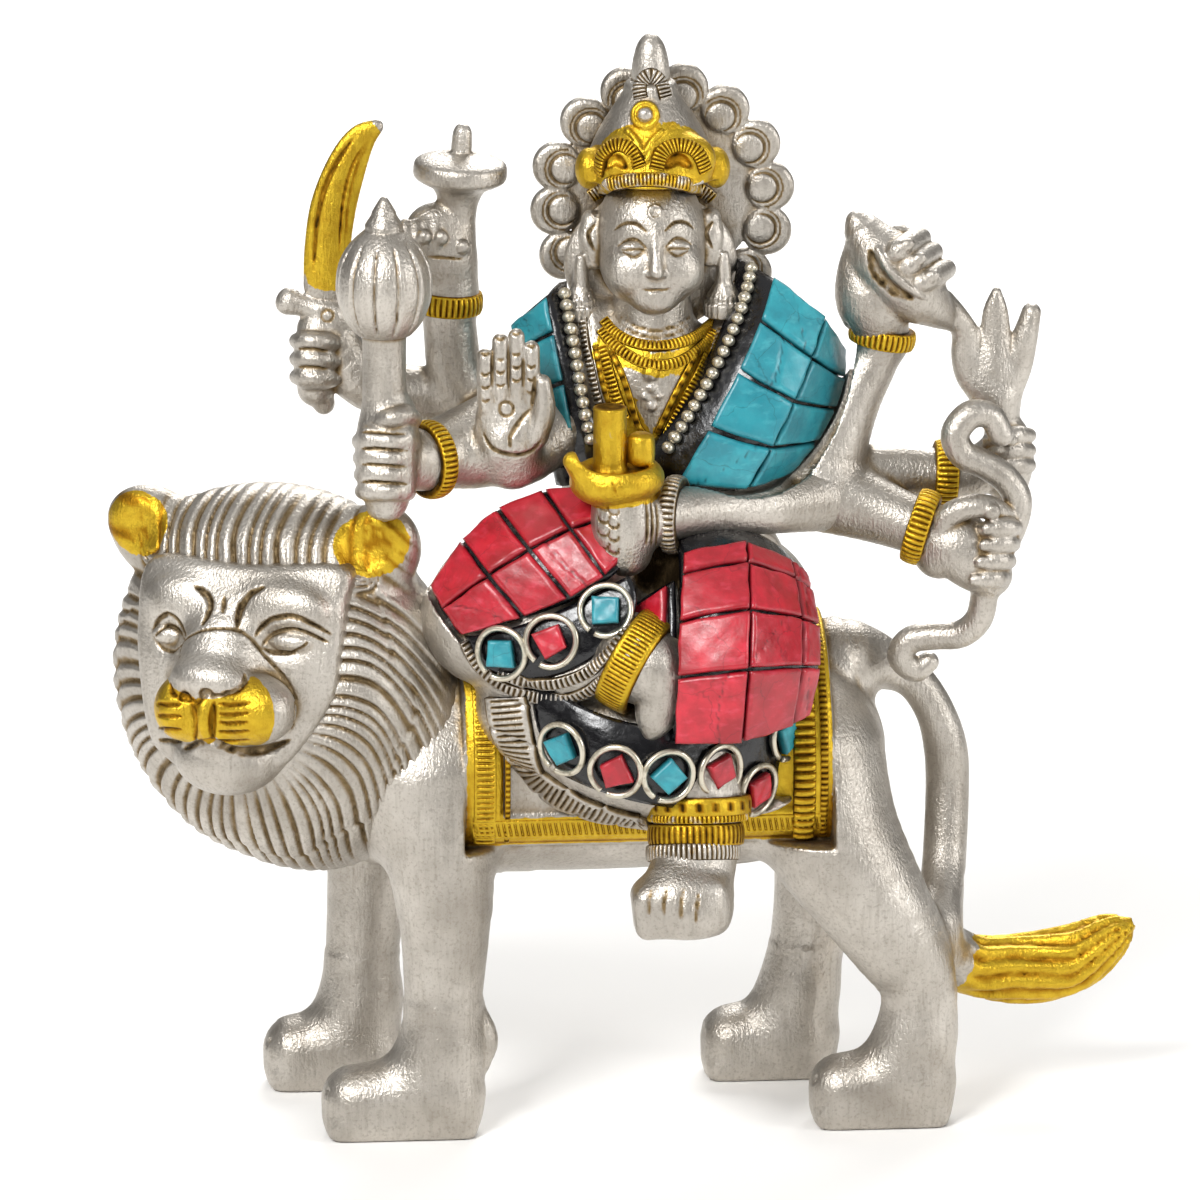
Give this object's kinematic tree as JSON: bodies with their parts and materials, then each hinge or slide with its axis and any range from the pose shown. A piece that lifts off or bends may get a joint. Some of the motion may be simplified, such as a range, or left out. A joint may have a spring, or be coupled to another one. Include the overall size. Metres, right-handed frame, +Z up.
{
  "type": "durga figure",
  "caption": "Cast brass goddess with many arms seated on a standing lion, with turquoise and coral chips, ringed stones and beads set in black resin.",
  "frame": {"origin": "under the middle of the whole figure, level with the soles of the lion's feet", "axes": "+Z up, the lion walks toward -X, the goddess faces -Y"},
  "size_m": [0.177, 0.0696, 0.19],
  "materials": {
    "silvered_brass": "antique satin silver over cast brass, brown patina in the recesses, gold lacquer on the raised ornaments",
    "black_resin": "poured glossy black resin",
    "turquoise_stone": "cut chips of turquoise stone, polished, with fine dark veins",
    "coral_stone": "cut chips of red coral, polished, with paler patches",
    "white_metal_wire": "white metal wire and beads, lightly tarnished"
  },
  "bodies": {
    "root": {"brass_casting": "silvered_brass", "resin_shawl": "black_resin", "resin_shawl_end": "black_resin", "resin_lap": "black_resin", "resin_knee": "black_resin", "resin_wedge": "black_resin", "resin_upper_hem": "black_resin", "resin_lower_hem": "black_resin", "shawl_tile_01": "turquoise_stone", "shawl_tile_02": "turquoise_stone", "shawl_tile_03": "turquoise_stone", "shawl_tile_04": "turquoise_stone", "shawl_tile_05": "turquoise_stone", "shawl_tile_06": "turquoise_stone", "shawl_tile_07": "turquoise_stone", "shawl_tile_08": "turquoise_stone", "shawl_end_tile_01": "turquoise_stone", "shawl_end_tile_02": "turquoise_stone", "shawl_end_tile_03": "turquoise_stone", "lap_tile_01": "coral_stone", "lap_tile_02": "coral_stone", "lap_tile_03": "coral_stone", "lap_tile_04": "coral_stone", "lap_tile_05": "coral_stone", "lap_tile_06": "coral_stone", "lap_tile_07": "coral_stone", "lap_tile_08": "coral_stone", "knee_tile_01": "coral_stone", "knee_tile_02": "coral_stone", "knee_tile_03": "coral_stone", "knee_tile_04": "coral_stone", "knee_tile_05": "coral_stone", "knee_tile_06": "coral_stone", "knee_tile_07": "coral_stone", "knee_tile_08": "coral_stone", "knee_tile_09": "coral_stone", "knee_tile_10": "coral_stone", "knee_tile_11": "coral_stone", "knee_tile_12": "coral_stone", "knee_tile_13": "coral_stone", "wire_ring_01": "white_metal_wire", "wire_ring_02": "white_metal_wire", "wire_ring_03": "white_metal_wire", "wire_ring_04": "white_metal_wire", "wire_ring_05": "white_metal_wire", "wire_ring_06": "white_metal_wire", "wire_ring_07": "white_metal_wire", "wire_ring_08": "white_metal_wire", "wire_ring_09": "white_metal_wire", "ring_stone_01": "turquoise_stone", "ring_stone_02": "coral_stone", "ring_stone_03": "turquoise_stone", "ring_stone_04": "turquoise_stone", "ring_stone_05": "coral_stone", "ring_stone_06": "turquoise_stone", "ring_stone_07": "coral_stone", "ring_stone_08": "turquoise_stone", "ring_stone_09": "coral_stone", "bead_string_left": "white_metal_wire", "bead_string_right": "white_metal_wire"}
  },
  "joints": []
}
